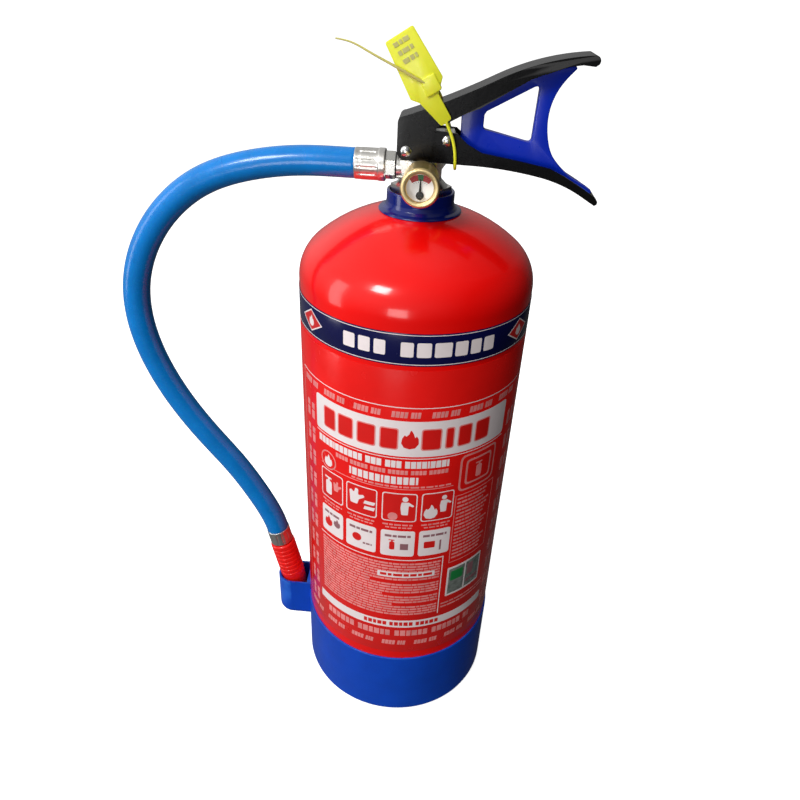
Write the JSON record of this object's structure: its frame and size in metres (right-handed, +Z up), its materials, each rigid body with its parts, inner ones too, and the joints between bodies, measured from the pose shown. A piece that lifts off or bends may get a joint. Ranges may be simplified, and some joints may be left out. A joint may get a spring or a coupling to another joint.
{
  "type": "fire extinguisher",
  "caption": "Portable stored-pressure powder fire extinguisher with squeeze-grip valve, pressure gauge and a side hose parked in a base-ring cup.",
  "frame": {"origin": "centre of the base skirt's bottom face, on the cylinder axis", "axes": "+Z up along the cylinder axis; +X towards the free ends of the handle and lever; -Y towards the pressure gauge; the hose leaves the valve along -X"},
  "size_m": [0.322, 0.1626, 0.5272],
  "materials": {
    "red_paint": "gloss",
    "powder": "matte",
    "collar_blue": "gloss",
    "skirt_blue": "gloss",
    "band_film": "gloss",
    "label_film": "gloss",
    "nickel_plate": "polished",
    "black_rubber": "matte",
    "brass": "satin",
    "siphon_plastic": "matte",
    "steel_bright": "satin",
    "black_coat": "gloss",
    "wedge_blue": "gloss",
    "clear_lens": "gloss",
    "dial_white": "matte",
    "needle_black": "matte",
    "ferrule_plate": "satin",
    "hose_blue": "gloss",
    "nozzle_red": "gloss",
    "seal_yellow": "gloss"
  },
  "bodies": {
    "extinguisher": {"cylinder_shell": "red_paint", "powder_charge": "powder", "neck_ring": "red_paint", "neck_collar": "collar_blue", "base_skirt": "skirt_blue", "title_band": "band_film", "instruction_label": "label_film", "valve_body": "nickel_plate", "neck_oring": "black_rubber", "stem_oring": "black_rubber", "gland_nut": "brass", "siphon_adapter": "brass", "siphon_tube": "siphon_plastic", "stem_spring": "steel_bright", "carry_handle": "black_coat", "pivot_rivet": "steel_bright", "handle_rivet": "steel_bright", "gauge_case": "brass", "gauge_bezel": "brass", "gauge_lens": "clear_lens", "gauge_washer": "black_rubber", "gauge_dial": "dial_white", "bourdon_tube": "brass", "hose_coupling": "nickel_plate", "coupling_gasket": "black_rubber", "upper_ferrule": "ferrule_plate", "hose_length_1": "hose_blue", "tamper_seal": "seal_yellow"},
    "wedge": {"safety_wedge": "wedge_blue"},
    "lever": {"squeeze_lever": "black_coat"},
    "stem": {"valve_stem": "steel_bright", "stem_seal": "black_rubber", "seal_nut": "brass"},
    "needle": {"gauge_needle": "needle_black"},
    "hose_link_1": {"hose_length_2": "hose_blue"},
    "hose_link_2": {"hose_length_3": "hose_blue"},
    "hose_link_3": {"hose_length_4": "hose_blue"},
    "hose_link_4": {"hose_length_5": "hose_blue"},
    "nozzle_end": {"hose_length_6": "hose_blue", "lower_ferrule": "ferrule_plate", "nozzle_insert": "brass", "discharge_nozzle": "nozzle_red"}
  },
  "joints": [
    {"name": "wedge_pull", "type": "slide", "parent": "extinguisher", "child": "wedge", "axis": [1, 0, 0], "range_m": [0, 0.1]},
    {"name": "lever_squeeze", "type": "hinge", "parent": "extinguisher", "child": "lever", "pos_m": [-0.0103, 0, 0.459], "axis": [0, 1, 0], "range_deg": [0, 12]},
    {"name": "stem_press", "type": "slide", "parent": "extinguisher", "child": "stem", "axis": [0, 0, -1], "range_m": [0, 0.0042], "deforming": ["stem_spring"]},
    {"name": "needle_swing", "type": "hinge", "parent": "extinguisher", "child": "needle", "pos_m": [0.0006, -0.0385, 0.4403], "axis": [0, 1, 0], "range_deg": [-30, 30]},
    {"name": "hose_bend_1", "type": "hinge", "parent": "extinguisher", "child": "hose_link_1", "pos_m": [-0.07448, 0, 0.44716], "axis": [0, 1, 0], "range_deg": [0, 9.68]},
    {"name": "hose_bend_2", "type": "hinge", "parent": "hose_link_1", "child": "hose_link_2", "pos_m": [-0.16859, 0, 0.41134], "axis": [0, 1, 0], "range_deg": [0, 4.38]},
    {"name": "hose_bend_3", "type": "hinge", "parent": "hose_link_2", "child": "hose_link_3", "pos_m": [-0.19913, 0, 0.30836], "axis": [0, 1, 0], "range_deg": [-10.96, 0]},
    {"name": "hose_bend_4", "type": "hinge", "parent": "hose_link_3", "child": "hose_link_4", "pos_m": [-0.16225, 0, 0.22724], "axis": [0, 1, 0], "range_deg": [-25.87, 0]},
    {"name": "hose_bend_5", "type": "hinge", "parent": "hose_link_4", "child": "nozzle_end", "pos_m": [-0.11922, 0, 0.15907], "axis": [0, 1, 0], "range_deg": [0, 22.77]}
  ],
  "couplings": [
    {"joint": "lever_squeeze", "follows": "wedge_pull", "rad_per_m": 2.0943},
    {"joint": "stem_press", "follows": "wedge_pull", "ratio": 0.042},
    {"joint": "hose_bend_2", "follows": "hose_bend_1", "ratio": 0.452},
    {"joint": "hose_bend_3", "follows": "hose_bend_1", "ratio": -1.1322},
    {"joint": "hose_bend_4", "follows": "hose_bend_1", "ratio": -2.6717},
    {"joint": "hose_bend_5", "follows": "hose_bend_1", "ratio": 2.3519}
  ]
}
